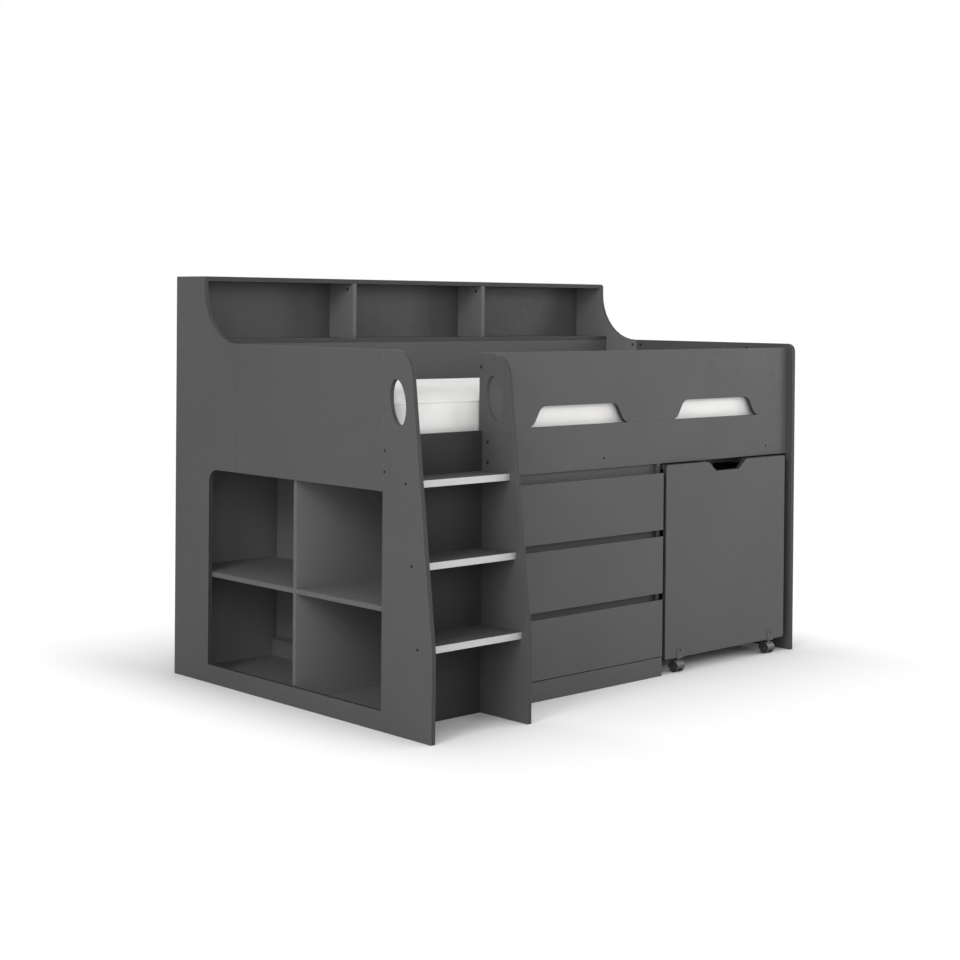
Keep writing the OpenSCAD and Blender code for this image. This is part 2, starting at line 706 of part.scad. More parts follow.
left_end_panel();
left_end_infill();
right_end_rear_panel();
right_end_side_panel();
ladder_right_panel();
ladder_back_panel();
tread_bottom();
tread_middle();
tread_top();
tread_edge_strips();
guard_upper_board();
guard_lower_board();
rear_inner_panel();
shelf_top();
shelf_bottom();
shelf_divider_left();
shelf_divider_right();
rear_upper_panel();
rear_lower_panel();
bookcase_base();
bookcase_divider();
bookcase_shelf_front();
bookcase_shelf_rear();
bookcase_top();
unit_left_side();
unit_right_side();
unit_plinth();
unit_base();
unit_top();
unit_rails();
unit_runners();
slat_battens();
cross_beams();
slats();
mattress();
frame_screws();
cam_caps();
drawer_front_bottom();
drawer_front_middle();
drawer_front_top();
drawer_box_bottom();
drawer_box_middle();
drawer_box_top();
drawer_slides_bottom();
drawer_slides_middle();
drawer_slides_top();
desk_front();
desk_top();
desk_rear();
desk_spine();
castor_brackets();
castor_hood_1();
castor_hood_2();
castor_hood_3();
castor_hood_4();
castor_wheels_1();
castor_wheels_2();
castor_wheels_3();
castor_wheels_4();
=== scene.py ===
# %% [markdown]
# A mid sleeper bed: laminated boards, a ladder, a bookcase in the end, three drawers, a desk
# on castors, a shelf along the back and a mattress. The CAD part gives every board its exact
# place, so this lesson only dresses it: each board gets soft edges and a laminate finish, and
# the mattress, screws, caps, slats and castors are made again with the detail the solids lack.

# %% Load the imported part
import json
import math
import bmesh
import bpy
import numpy as np
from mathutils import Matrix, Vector
from mathutils.bvhtree import BVHTree

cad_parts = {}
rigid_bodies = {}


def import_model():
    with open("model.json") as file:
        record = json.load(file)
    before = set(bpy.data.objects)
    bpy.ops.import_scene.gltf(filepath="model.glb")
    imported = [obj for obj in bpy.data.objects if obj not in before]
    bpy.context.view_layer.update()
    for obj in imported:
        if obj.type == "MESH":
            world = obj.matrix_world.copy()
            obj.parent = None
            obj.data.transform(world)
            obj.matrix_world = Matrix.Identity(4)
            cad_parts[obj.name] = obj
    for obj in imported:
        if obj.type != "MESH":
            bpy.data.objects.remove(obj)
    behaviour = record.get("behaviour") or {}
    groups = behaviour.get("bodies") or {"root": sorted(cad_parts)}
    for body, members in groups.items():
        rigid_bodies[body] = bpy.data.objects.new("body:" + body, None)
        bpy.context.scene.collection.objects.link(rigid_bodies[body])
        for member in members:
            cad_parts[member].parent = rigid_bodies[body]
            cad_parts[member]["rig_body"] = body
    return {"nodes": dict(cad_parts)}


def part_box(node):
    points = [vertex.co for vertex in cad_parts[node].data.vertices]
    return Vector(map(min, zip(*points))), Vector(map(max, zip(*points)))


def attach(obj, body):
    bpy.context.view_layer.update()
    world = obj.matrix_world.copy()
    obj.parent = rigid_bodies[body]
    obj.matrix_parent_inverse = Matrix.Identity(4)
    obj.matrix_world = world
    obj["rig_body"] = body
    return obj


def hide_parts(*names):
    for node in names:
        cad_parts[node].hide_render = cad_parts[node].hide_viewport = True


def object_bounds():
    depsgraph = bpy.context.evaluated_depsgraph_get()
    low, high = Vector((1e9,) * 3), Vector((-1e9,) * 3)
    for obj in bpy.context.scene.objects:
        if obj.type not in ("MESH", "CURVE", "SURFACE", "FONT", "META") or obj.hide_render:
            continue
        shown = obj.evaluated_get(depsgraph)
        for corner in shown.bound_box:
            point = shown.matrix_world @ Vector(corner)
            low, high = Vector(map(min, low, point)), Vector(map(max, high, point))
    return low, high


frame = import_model()
nodes = frame["nodes"]
cad_box = [list(corner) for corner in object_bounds()]
MM = 0.001


def new_object(name, data):
    made = bpy.data.objects.new(name, data)
    bpy.context.scene.collection.objects.link(made)
    return made


# %% [markdown]
# The camera stands where the photographer stood. It is nearly level, and a shifted lens does
# the rest, so that upright edges stay almost upright, as they do in the photograph.

# %% Camera
camera_data = bpy.data.cameras.new("camera")
camera = new_object("camera", camera_data)
camera.location = (-4.3674, -4.5603, 1.2920)
camera.rotation_euler = [math.radians(a) for a in (89.45, -0.481, -43.806)]
camera_data.sensor_width = 36
camera_data.lens = 65.84
camera_data.shift_x = -0.0404
camera_data.shift_y = -0.1636
camera_data.clip_end = 200
bpy.context.scene.camera = camera
print("lens", camera_data.lens, "mm")

# %% [markdown]
# A material is a small graph of nodes. These helpers add a node, set or link its inputs, and
# start a material with one Principled shader, so that each finish below is only a few lines.

# %% Helpers for nodes
def add(tree, kind, inputs=None, **settings):
    made = tree.nodes.new(kind)
    for name, value in settings.items():
        setattr(made, name, value)
    for name, value in (inputs or {}).items():
        if isinstance(value, bpy.types.NodeSocket):
            tree.links.new(value, made.inputs[name])
        else:
            made.inputs[name].default_value = value
    return made


def start_material(name, **plain):
    material = bpy.data.materials.new(name)
    material.use_nodes = True
    tree = material.node_tree
    shader = tree.nodes["Principled BSDF"]
    for socket, value in plain.items():
        shader.inputs[socket.replace("_", " ")].default_value = value
    return material, tree, shader


def blend_colours(tree, factor, first, second):
    mixed = add(tree, "ShaderNodeMix", {0: factor}, data_type="RGBA")
    for place, colour in ((6, first), (7, second)):
        if isinstance(colour, bpy.types.NodeSocket):
            tree.links.new(colour, mixed.inputs[place])
        else:
            mixed.inputs[place].default_value = (*colour, 1)
    return mixed.outputs[2]


def spread(tree, value, low, high, start=0.3, end=0.7):
    return add(tree, "ShaderNodeMapRange", {
        "Value": value, "From Min": start, "From Max": end, "To Min": low, "To Max": high,
    }).outputs["Result"]


print("4 helpers for nodes")

# %% [markdown]
# Laminate, painted steel, moulded plastic and plated metal differ in colour, gloss and grain,
# but are built alike: large faint patches vary the colour, a fine grain varies the roughness
# and lifts the surface a few hundredths of a millimetre, and rounded edges are lighter in
# patches, partly as wear and partly as a painted highlight along the arris.
# The edges are marked on the mesh as "worn_and_highlit_edge" when they are rounded, and the
# narrow sides of a board as "edge_band": there the colour is darker than on the faces.
# Faces inside the bookcase and the rear shelf are marked "inside" and get painted light: a
# lighter tone that stands in for the fill light in their shade.

# %% One recipe for the hard finishes
EDGE_BAND = 0.66
# How much lighter the faces marked inside are painted, as fill light in their shade.
INSIDE_PAINTED_LIGHT = 2.5
GRAIN_TONE = 0.35
SCUFFS = 38.0


def hard_finish(name, colour, other, wear_and_highlight, patch=2.5, grain=650.0, stretch=(1, 1, 1),
                rough=(0.46, 0.60), lift=0.03, **plain):
    material, tree, shader = start_material(name, **plain)
    coords = add(tree, "ShaderNodeTexCoord").outputs["Object"]
    placed = add(tree, "ShaderNodeMapping", {"Vector": coords, "Scale": stretch}).outputs[0]
    patches = add(tree, "ShaderNodeTexNoise", {
        "Vector": placed, "Scale": patch, "Detail": 3.0}).outputs["Fac"]
    fine = add(tree, "ShaderNodeTexNoise", {
        "Vector": placed, "Scale": grain, "Detail": 3.0, "Roughness": 0.6}).outputs["Fac"]
    scuffs = add(tree, "ShaderNodeTexNoise", {
        "Vector": coords, "Scale": SCUFFS, "Detail": 4.0}).outputs["Fac"]
    base = blend_colours(tree, spread(tree, patches, 0, 1), colour, other)
    inside = add(tree, "ShaderNodeAttribute", attribute_name="inside").outputs["Fac"]
    # Faces marked inside are lightened: painted light in the shade of the bookcase and shelf.
    toned = blend_colours(tree, inside, base, tuple(INSIDE_PAINTED_LIGHT * c for c in colour))
    speckle = blend_colours(tree, spread(tree, fine, 0, GRAIN_TONE), toned, wear_and_highlight)
    # Rounded edges are lighter in scuffed patches: partly wear, partly a painted highlight.
    edge = add(tree, "ShaderNodeAttribute", attribute_name="worn_and_highlit_edge").outputs["Fac"]
    wear_and_highlight_share = add(tree, "ShaderNodeMath", {
        0: edge, 1: spread(tree, scuffs, 0.15, 0.9, 0.42, 0.62)}, operation="MULTIPLY")
    band = add(tree, "ShaderNodeAttribute", attribute_name="edge_band").outputs["Fac"]
    # Their narrow sides inside get the same painted light.
    edging = blend_colours(tree, inside, tuple(EDGE_BAND * c for c in colour),
                           tuple(EDGE_BAND * INSIDE_PAINTED_LIGHT * c for c in colour))
    banded = blend_colours(tree, band, speckle, edging)
    tree.links.new(blend_colours(tree, wear_and_highlight_share.outputs[0], banded, wear_and_highlight),
                   shader.inputs["Base Color"])
    both = add(tree, "ShaderNodeMath", {0: fine, 1: scuffs}, operation="MULTIPLY").outputs[0]
    tree.links.new(spread(tree, both, rough[0], rough[1], 0.15, 0.38),
                   shader.inputs["Roughness"])
    relief = add(tree, "ShaderNodeBump", {
        "Height": fine, "Strength": 0.6, "Distance": lift * MM})
    tree.links.new(relief.outputs[0], shader.inputs["Normal"])
    return material


# The third colour is for grain specks and for the lighter edges, which are part wear and part
# painted highlight.
laminate = hard_finish("anthracite_laminate", (0.067, 0.067, 0.068), (0.075, 0.075, 0.076),
                       (0.120, 0.120, 0.121), rough=(0.50, 0.64), Specular_IOR_Level=0.14)
# Painted shade: a darker copy of the laminate for the ladder's back panel, which lies in the shade
# of the ladder's sides and treads.
painted_shade_laminate = hard_finish("painted_shade_laminate", (0.026, 0.026, 0.027), (0.031, 0.031, 0.032),
                            (0.070, 0.070, 0.071), rough=(0.50, 0.64),
                            Specular_IOR_Level=0.14)
pale_laminate = hard_finish("pale_laminate", (0.66, 0.66, 0.64), (0.70, 0.70, 0.68),
                            (0.78, 0.78, 0.76))
aluminium = hard_finish("satin_aluminium", (0.39, 0.39, 0.395), (0.43, 0.43, 0.435),
                        (0.56, 0.56, 0.565), patch=6, grain=500, stretch=(0.04, 1, 1),
                        rough=(0.46, 0.58), lift=0.02, Metallic=0.4)
plated_steel = hard_finish("zinc_plated_steel", (0.52, 0.53, 0.54), (0.60, 0.61, 0.63),
                           (0.72, 0.73, 0.74), patch=14, grain=420, stretch=(1, 0.2, 1),
                           rough=(0.30, 0.48), lift=0.02, Metallic=1.0)
grey_steel = hard_finish("grey_painted_steel", (0.056, 0.056, 0.058), (0.066, 0.066, 0.068),
                         (0.12, 0.12, 0.12), patch=20, grain=900, rough=(0.42, 0.55),
                         Specular_IOR_Level=0.25)
black_screw = hard_finish("black_zinc_screw", (0.006, 0.006, 0.007), (0.009, 0.009, 0.010),
                          (0.022, 0.022, 0.023), patch=60, grain=1500, rough=(0.45, 0.6),
                          lift=0.02, Specular_IOR_Level=0.12)
cap_plastic = hard_finish("cap_plastic", (0.009, 0.009, 0.010), (0.013, 0.013, 0.014),
                          (0.030, 0.030, 0.031), patch=80, grain=1600, rough=(0.5, 0.64),
                          Specular_IOR_Level=0.15)
hood_plastic = hard_finish("castor_plastic", (0.080, 0.081, 0.083), (0.094, 0.095, 0.097),
                           (0.15, 0.15, 0.155), patch=40, grain=1200, rough=(0.40, 0.52),
                           Specular_IOR_Level=0.3)
wheel_rubber = hard_finish("castor_tread", (0.026, 0.026, 0.028), (0.034, 0.034, 0.036),
                           (0.07, 0.07, 0.07), patch=60, grain=1400, rough=(0.6, 0.75),
                           lift=0.05, Specular_IOR_Level=0.25)
print(len(bpy.data.materials), "finishes so far")

# %% [markdown]
# Pine has long grain. Noise squeezed across the board and drawn out along it gives streaks, and
# a second, broader noise gives the pale and dark bands. Each plank reads its own tone.

# %% Pine
ALONG_GRAIN, ACROSS_GRAIN = 0.9, 22


def pine_finish(name, along):
    material, tree, shader = start_material(name)
    long_way = [ALONG_GRAIN if way == along else ACROSS_GRAIN for way in "XYZ"]
    coords = add(tree, "ShaderNodeTexCoord").outputs["Object"]
    plank = add(tree, "ShaderNodeAttribute", attribute_name="plank_tone").outputs["Fac"]
    shifted = add(tree, "ShaderNodeVectorMath", {0: coords, 1: plank}, operation="ADD")
    placed = add(tree, "ShaderNodeMapping", {"Vector": shifted.outputs[0], "Scale": long_way})
    bands = add(tree, "ShaderNodeTexNoise", {
        "Vector": placed.outputs[0], "Scale": 3.0, "Detail": 2.0, "Distortion": 0.6})
    streaks = add(tree, "ShaderNodeTexNoise", {
        "Vector": placed.outputs[0], "Scale": 22.0, "Detail": 5.0})
    wood = blend_colours(tree, spread(tree, bands.outputs["Fac"], 0, 1),
                         (0.70, 0.50, 0.29), (0.60, 0.40, 0.21))
    toned = blend_colours(tree, spread(tree, streaks.outputs["Fac"], 0, 0.5), wood,
                          (0.48, 0.30, 0.14))
    tree.links.new(toned, shader.inputs["Base Color"])
    tree.links.new(spread(tree, streaks.outputs["Fac"], 0.5, 0.72), shader.inputs["Roughness"])
    relief = add(tree, "ShaderNodeBump", {
        "Height": streaks.outputs["Fac"], "Strength": 0.5, "Distance": 0.15 * MM})
    tree.links.new(relief.outputs[0], shader.inputs["Normal"])
    return material


pine_across = pine_finish("pine_across", "Y")
pine_lengthwise = pine_finish("pine_lengthwise", "X")
print("pine ready")

# %% [markdown]
# The mattress cover is a white knit. Two fine waves at right angles are the stitches of the
# knit, about 1.6 mm apart, and a soft noise lets the cloth look handled. At scale 1 the wave
# texture repeats every 0.314 m, so that length over the pitch is the scale. Sheen, the glow of
# loose fibres, is the same everywhere, so it is set on the shader itself.

# %% Knitted cover and tape
WAVE_LENGTH = 0.314


def knit_finish(name, colour, shade, pitch, sheen):
    material, tree, shader = start_material(
        name, Sheen_Weight=sheen, Sheen_Roughness=0.5)
    coords = add(tree, "ShaderNodeTexCoord").outputs["Object"]
    waves = []
    for direction in ("X", "Y", "Z"):
        waves.append(add(tree, "ShaderNodeTexWave", {
            "Vector": coords, "Scale": WAVE_LENGTH / pitch, "Distortion": 0.8, "Detail": 1.0,
            "Detail Scale": 2.0}, bands_direction=direction).outputs["Fac"])
    crossed = add(tree, "ShaderNodeMath", {0: waves[0], 1: waves[1]}, operation="MULTIPLY")
    knit = add(tree, "ShaderNodeMath", {0: crossed.outputs[0], 1: waves[2]}, operation="MAXIMUM")
    handled = add(tree, "ShaderNodeTexNoise", {
        "Vector": coords, "Scale": 9.0, "Detail": 4.0}).outputs["Fac"]
    cloth = blend_colours(tree, spread(tree, handled, 0, 1), colour, shade)
    toned = blend_colours(tree, spread(tree, knit.outputs[0], 0.35, 0, 0, 1), cloth, shade)
    tree.links.new(toned, shader.inputs["Base Color"])
    tree.links.new(spread(tree, handled, 0.82, 0.95), shader.inputs["Roughness"])
    relief = add(tree, "ShaderNodeBump", {
        "Height": knit.outputs[0], "Strength": 0.6, "Distance": 0.25 * MM})
    tree.links.new(relief.outputs[0], shader.inputs["Normal"])
    return material


cover = knit_finish("mattress_knit", (0.86, 0.855, 0.84), (0.81, 0.80, 0.785), 0.0016, 0.25)
tape = knit_finish("mattress_tape", (0.78, 0.77, 0.75), (0.68, 0.67, 0.65), 0.0011, 0.15)
print("cloth and tape ready")

# %% [markdown]
# Real boards have no razor edges: the edge band is broken by less than a millimetre, and that
# thin round catches the light. Each board's mesh is copied, its loose triangles are merged, and
# only true edges are rounded. Bores for screws and caps are left sharp, because their edges
# hide under a head. A weighted normal keeps the big faces flat in the shading. The infill board
# of the ladder end has a rounder edge, because its two seams show in the photograph.

# %% Round a board's edges
ROUND = 0.8 * MM
SEAM_ROUND = 1.5 * MM
SHORTEST_EDGE = 1.0 * MM
SHARP = math.radians(25)
# Nodes of several pieces or of folded metal, which have no edge band to mark.
NOT_ONE_BOARD = ("unit_plinth", "unit_runners", "castor_brackets", "tread_edge_strips")
# Boards whose inner faces get painted light, a lighter tone for the fill light in their shade:
# the way in which these faces look, None for all faces.
PAINTED_LIGHT_BOARDS = {name: None for name in nodes if name.startswith(("bookcase_", "shelf_divider"))}
PAINTED_LIGHT_BOARDS.update(unit_left_side=None, unit_base=None, rear_lower_panel=(0, -1, 0),
             right_end_rear_panel=(-1, 0, 0), unit_plinth=(-1, 0, 0))


def add_piece(name, mesh, body, material, slot_name, *stands_for):
    piece = new_object(name, mesh)
    if not mesh.materials:
        mesh.materials.append(material)
    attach(piece, body)
    if stands_for:
        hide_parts(*stands_for)
    return piece


def end_mesh(work, name):
    for face in work.faces:
        face.smooth = True
    mesh = bpy.data.meshes.new(name)
    work.to_mesh(mesh)
    work.free()
    return mesh


def merged_copy(node):
    work = bmesh.new()
    work.from_mesh(nodes[node].data)
    bmesh.ops.remove_doubles(work, verts=work.verts, dist=0.01 * MM)
    bmesh.ops.dissolve_limit(work, angle_limit=math.radians(0.4), verts=work.verts,
                             edges=work.edges)
    return work


def round_edges(work, width, segments=2):
    mark = work.loops.layers.float.new("worn_and_highlit_edge")
    edges = [e for e in work.edges if len(e.link_faces) == 2
             and e.calc_length() > SHORTEST_EDGE and e.calc_face_angle(0) > SHARP]
    made = bmesh.ops.bevel(work, geom=edges, offset=width, offset_type="OFFSET",
                           segments=segments, profile=0.6, affect="EDGES",
                           clamp_overlap=True, loop_slide=True, material=-1)
    # The rounded faces are marked for the lighter edge colour: wear and a painted highlight.
    for face in made["faces"]:
        for loop in face.loops:
            loop[mark] = 1.0
    for face in work.faces:
        face.smooth = True


def mark_faces(work, name, chosen):
    """Write 1 on the faces that are chosen and 0 on the others, for the materials to read."""
    mark = work.loops.layers.float.new(name)
    for face in work.faces:
        for loop in face.loops:
            loop[mark] = 1.0 if chosen(face) else 0.0


def is_narrow(face, thin_axis):
    return abs(face.normal[thin_axis]) < 0.5


def looks_toward(face, toward):
    return toward is None or face.normal.dot(Vector(toward)) > 0.5


def edged(node, material, slot_name, width=ROUND, segments=2):
    work = merged_copy(node)
    low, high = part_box(node)
    # The inner faces of these boards are marked for the painted light of the finish.
    if node in PAINTED_LIGHT_BOARDS:
        mark_faces(work, "inside", lambda face: looks_toward(face, PAINTED_LIGHT_BOARDS[node]))
    if node not in NOT_ONE_BOARD:
        thin_axis = int(np.argmin([b - a for a, b in zip(low, high)]))
        mark_faces(work, "edge_band", lambda face: is_narrow(face, thin_axis))
    round_edges(work, width, segments)
    mesh = end_mesh(work, node + "_edged")
    piece = add_piece(node + "_edged", mesh, nodes[node]["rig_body"], material, slot_name, node)
    piece.modifiers.new("flat faces", "WEIGHTED_NORMAL").keep_sharp = False


print("edges are rounded by", ROUND / MM, "mm")

# %% [markdown]
# Now every board of the bed, the drawers and the desk is edged. They carry an anthracite
# laminate; the panel behind the ladder gets a much darker copy of it, painted shade for the
# shade between the ladder's sides and under its treads. The drawer boxes are pale inside.

# %% Boards
boards = [n for n in nodes if n.startswith((
    "left_end", "right_end", "ladder_", "guard_", "rear_", "shelf_", "bookcase_", "drawer_front",
    "tread_bottom", "tread_middle", "tread_top", "desk_"))
    or n.startswith("unit_") and n != "unit_runners"]
for name in boards:
    edged(name, painted_shade_laminate if name == "ladder_back_panel" else laminate, "laminate",
          SEAM_ROUND if name == "left_end_infill" else ROUND)
for name in [n for n in nodes if n.startswith("drawer_box")]:
    edged(name, pale_laminate, "drawer_board", 0.5 * MM)
print(len(boards), "dark boards and 3 drawer boxes edged")

# %% [markdown]
# Folded and drawn metal has much tighter edges than board: the tread strips and the runners are
# only 1 to 1.5 mm thick, so their edges are broken by a quarter of a millimetre. Sawn battens
# and beams of pine are rounder than any board.

# %% Metal strips, runners, brackets, battens and beams
FOLDED_ROUND = 0.25 * MM
SAWN_ROUND = 1.5 * MM
edged("tread_edge_strips", aluminium, "strip_aluminium", FOLDED_ROUND)
edged("unit_runners", plated_steel, "runner_steel", FOLDED_ROUND)
for name in [n for n in nodes if n.startswith("drawer_slides")]:
    edged(name, plated_steel, "runner_steel", 0.6 * MM)
edged("castor_brackets", grey_steel, "bracket_steel", 0.4 * MM)
edged("slat_battens", pine_lengthwise, "pine", SAWN_ROUND)
edged("cross_beams", pine_across, "pine", SAWN_ROUND)
print("strips, runners, slides, brackets, battens and beams edged")

# %% [markdown]
# Screws, caps and slats repeat, so Geometry Nodes make them: one shape is put on many points.
# The tree has named inputs for the sizes, turns the instances into real mesh and sets the
# material, and the result is then kept as a plain mesh. The points are the CAD's own places.

# %% Helpers for Geometry Nodes
def new_tree(name, sizes):
    tree = bpy.data.node_groups.new(name, "GeometryNodeTree")
    tree.interface.new_socket("Geometry", in_out="INPUT", socket_type="NodeSocketGeometry")
    for label, value in sizes.items():
        kind = "NodeSocketInt" if isinstance(value, int) else "NodeSocketFloat"
        tree.interface.new_socket(label, in_out="INPUT", socket_type=kind).default_value = value
    tree.interface.new_socket("Geometry", in_out="OUTPUT", socket_type="NodeSocketGeometry")
    return tree, tree.nodes.new("NodeGroupInput").outputs


def end_tree(tree, instances, material):
    real = add(tree, "GeometryNodeRealizeInstances", {0: instances})
    dressed = add(tree, "GeometryNodeSetMaterial", {
        "Geometry": real.outputs[0], "Material": material})
    add(tree, "NodeGroupOutput", {0: dressed.outputs[0]})


def along_facing(tree):
    """The rotation that turns a shape's Z to the way that its point faces."""
    way = add(tree, "GeometryNodeInputNamedAttribute", {"Name": "facing"},
              data_type="FLOAT_VECTOR")
    return add(tree, "FunctionNodeAlignRotationToVector", {"Vector": way.outputs[0]},
               axis="Z").outputs[0]


def put_on_points(tree, points, shape, rotation, material):
    put = add(tree, "GeometryNodeInstanceOnPoints", {
        "Points": points, "Instance": shape, "Rotation": rotation})
    end_tree(tree, put.outputs[0], material)


def cone_at(tree, sides, low, top, depth, start):
    cone = add(tree, "GeometryNodeMeshCone", {
        "Vertices": sides, "Radius Bottom": low, "Radius Top": top, "Depth": depth})
    moved = add(tree, "ShaderNodeCombineXYZ", {"Z": start})
    return add(tree, "GeometryNodeTransform", {
        "Geometry": cone.outputs["Mesh"], "Translation": moved.outputs[0]}).outputs[0]


def joined(tree, parts):
    whole = add(tree, "GeometryNodeMeshBoolean", operation="UNION", solver="EXACT")
    for part in parts:
        tree.links.new(part, whole.inputs["Mesh 2"])
    return whole.outputs[0]


def cut_by(tree, whole, tool):
    return add(tree, "GeometryNodeMeshBoolean", {"Mesh 1": whole, "Mesh 2": tool},
               operation="DIFFERENCE", solver="EXACT").outputs[0]


def calculated(tree, kind, first, second):
    return add(tree, "ShaderNodeMath", {0: first, 1: second}, operation=kind).outputs[0]


def grow(tree, name, points, facings, **sizes):
    mesh = bpy.data.meshes.new(name + "_points")
    mesh.from_pydata([tuple(p) for p in points], [], [])
    facing = mesh.attributes.new("facing", "FLOAT_VECTOR", "POINT")
    facing.data.foreach_set("vector", np.array(facings, np.float32).ravel())
    host = new_object(name + "_host", mesh)
    modifier = host.modifiers.new("grow", "NODES")
    modifier.node_group = tree
    for item in tree.interface.items_tree:
        if item.in_out == "INPUT" and item.name in sizes:
            modifier[item.identifier] = sizes[item.name]
    host.update_tag()
    bpy.context.view_layer.update()
    graph = bpy.context.evaluated_depsgraph_get()
    grown = bpy.data.meshes.new_from_object(host.evaluated_get(graph))
    grown.name = name
    bpy.data.objects.remove(host)
    return grown


def loose_parts(node):
    """The lowest and highest corner of each separate solid in a CAD node."""
    work = bmesh.new()
    work.from_mesh(nodes[node].data)
    bmesh.ops.remove_doubles(work, verts=work.verts, dist=0.01 * MM)
    left, found = set(work.verts), []
    while left:
        group, edge = set(), [left.pop()]
        while edge:
            vertex = edge.pop()
            group.add(vertex)
            near = {e.other_vert(vertex) for e in vertex.link_edges} & left
            left -= near
            edge.extend(near)
        co = np.array([v.co for v in group])
        found.append((co.min(0), co.max(0)))
    work.free()
    return sorted(found, key=lambda box: tuple(np.round(box[0], 4)))


print("separate screws in the CAD:", len(loose_parts("frame_screws")))

# %% [markdown]
# The connecting screws have a flat black head with a hexagon socket and a chamfered rim. The
# head is a cylinder on a short cone, a thinner cylinder is the shank, and a six-sided one cuts
# the socket out. Each screw is turned by an angle of its own.

# %% Screw tree
CHAMFER_IN = 0.5 * MM
CHAMFER_DEEP = 0.35 * MM
SOCKET_DEEP = 1.6 * MM


def screw_tree(material):
    tree, given = new_tree("connecting_screws", {
        "Head": 4.5 * MM, "Thick": 2.4 * MM, "Socket": 2.1 * MM, "Shank": 2.5 * MM,
        "Length": 40 * MM, "Seed": 4})
    rim = calculated(tree, "SUBTRACT", given["Head"], CHAMFER_IN)
    flat = calculated(tree, "SUBTRACT", given["Thick"], CHAMFER_DEEP)
    head = cone_at(tree, 36, given["Head"], given["Head"], flat, CHAMFER_DEEP)
    bevel = cone_at(tree, 36, rim, given["Head"], CHAMFER_DEEP + 0.01 * MM, 0.0)
    shank = cone_at(tree, 16, given["Shank"], given["Shank"], given["Length"], 1.0 * MM)
    socket = cone_at(tree, 6, given["Socket"], given["Socket"], SOCKET_DEEP, -0.2 * MM)
    screw = cut_by(tree, joined(tree, (head, bevel, shank)), socket)
    chance = add(tree, "FunctionNodeRandomValue", {"Min": 0.0, "Max": 1.0, "Seed": given["Seed"]})
    own = add(tree, "ShaderNodeCombineXYZ", {"Z": chance.outputs["Value"]})
    spun = add(tree, "FunctionNodeRotateRotation", {
        "Rotation": along_facing(tree), "Rotate By": own.outputs[0]}, rotation_space="LOCAL")
    put_on_points(tree, given["Geometry"], screw, spun.outputs[0], material)
    return tree


screws = screw_tree(black_screw)
print("screw tree with", len(screws.nodes), "nodes")

# %% [markdown]
# Each solid of the CAD's screw node is long and thin, so its long way is the screw's axis, and
# its outer end is the head's place. Screws that lie along the bed point toward the middle of
# the ladder, and those in the guard board point to the back.

# %% Put the frame's screws
places, facings = [], []
ladder_middle = sum(c[0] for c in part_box("ladder_back_panel")) / 2
for low, high in loose_parts("frame_screws"):
    middle, size = (low + high) / 2, high - low
    axis = int(np.argmax(size))
    inward = 1 if axis == 1 or middle[0] < ladder_middle else -1
    start = middle.copy()
    start[axis] = low[axis] if inward > 0 else high[axis]
    way = [0, 0, 0]
    way[axis] = inward
    places.append(start)
    facings.append(way)
mesh = grow(screws, "frame_screws_made", places, facings)
add_piece("frame_screws_made", mesh, "root", black_screw, "screw_steel", "frame_screws")
print(len(places), "frame screws,", len(mesh.polygons), "faces")

# %% [markdown]
# The cam fittings hide under small plastic caps with a domed edge and a shallow dimple. A cap
# is a disc on a short cone, with a dimple cut by a ball, again put on the CAD's points.

# %% Caps
DIMPLE_BALL = 9 * MM
DIMPLE_DEEP = 0.3 * MM


def cap_tree(material):
    tree, given = new_tree("cam_caps", {"Radius": 5.5 * MM, "Thick": 2.0 * MM, "Proud": 0.6 * MM})
    shrunk = calculated(tree, "MULTIPLY", given["Radius"], 0.88)
    disc = cone_at(tree, 40, given["Radius"], given["Radius"], given["Thick"], given["Proud"])
    rim = cone_at(tree, 40, shrunk, given["Radius"], given["Proud"], 0.0)
    ball = add(tree, "GeometryNodeMeshUVSphere", {
        "Segments": 24, "Rings": 12, "Radius": DIMPLE_BALL})
    sunk = add(tree, "GeometryNodeTransform", {
        "Geometry": ball.outputs["Mesh"], "Translation": (0, 0, DIMPLE_DEEP - DIMPLE_BALL)})
    dimpled = cut_by(tree, joined(tree, (disc, rim)), sunk.outputs[0])
    put_on_points(tree, given["Geometry"], dimpled, along_facing(tree), material)
    return tree


caps = loose_parts("cam_caps")
cap_places = [((low + high) / 2 * (0, 1, 1)) + (low[0], 0, 0) for low, high in caps]
mesh = grow(cap_tree(cap_plastic), "cam_caps_made", cap_places, [(1, 0, 0)] * len(caps))
add_piece("cam_caps_made", mesh, "root", cap_plastic, "cap_plastic", "cam_caps")
print(len(caps), "caps")

# %% [markdown]
# The slats lie across the bed at one pitch. A line of points with a plank on each is enough,
# and each plank carries its own tone, so that the grain differs from one to the next.

# %% Slats
SLAT_ROUND = 2 * MM


